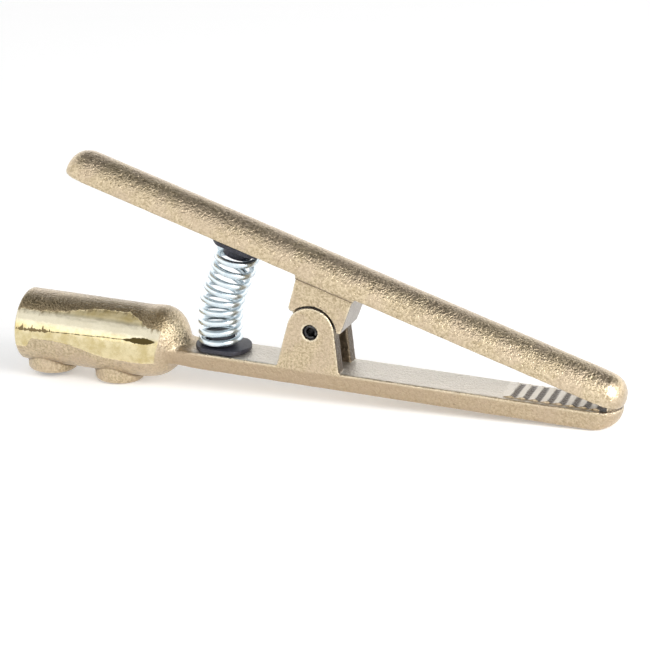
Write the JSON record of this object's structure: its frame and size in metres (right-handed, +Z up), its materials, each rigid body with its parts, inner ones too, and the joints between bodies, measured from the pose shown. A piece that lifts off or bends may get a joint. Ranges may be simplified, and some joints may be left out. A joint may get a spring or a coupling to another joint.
{
  "type": "ground clamp",
  "caption": "Spring-loaded welding ground clamp: brass jaws with teeth and a slotted pivot pin, bowed compression spring between the handles, round cable socket with set screws below.",
  "frame": {"origin": "middle of the bottom of the bounding box, on the floor the clamp stands on", "axes": "+X from the cable socket's mouth towards the jaw tips, +Y across the jaws, +Z up; the clamp stands on its front boss and lower tip, nose down by 3.2 degrees"},
  "size_m": [0.2064, 0.024, 0.0777],
  "materials": {
    "cast_brass": "sand-cast, satin, with a polished band along the cable socket",
    "pin_steel": "dark drawn spring steel",
    "spring_steel": "bright zinc plating",
    "insulator": "matt dark grey fibre",
    "screw_steel": "black oxide"
  },
  "bodies": {
    "lower": {"lower_jaw": "cast_brass", "pivot_pin": "pin_steel", "lower_insulator": "insulator", "spring": "spring_steel"},
    "upper": {"upper_jaw": "cast_brass", "upper_insulator": "insulator"},
    "rear_screw": {"set_screw_rear": "screw_steel"},
    "front_screw": {"set_screw_front": "screw_steel"}
  },
  "joints": [
    {"name": "jaw_pivot", "type": "hinge", "parent": "lower", "child": "upper", "pos_m": [0.00174, 0, 0.02449], "axis": [0, -1, 0], "range_deg": [0, 20], "stiffness_Nm_per_rad": 16, "springref_deg": -20.63, "deforming": ["spring"]},
    {"name": "rear_screw_travel", "type": "slide", "parent": "lower", "child": "rear_screw", "axis": [0.0564, 0, 0.9984], "range_m": [0, 0.0035]},
    {"name": "front_screw_travel", "type": "slide", "parent": "lower", "child": "front_screw", "axis": [0.0564, 0, 0.9984], "range_m": [0, 0.0035]}
  ]
}
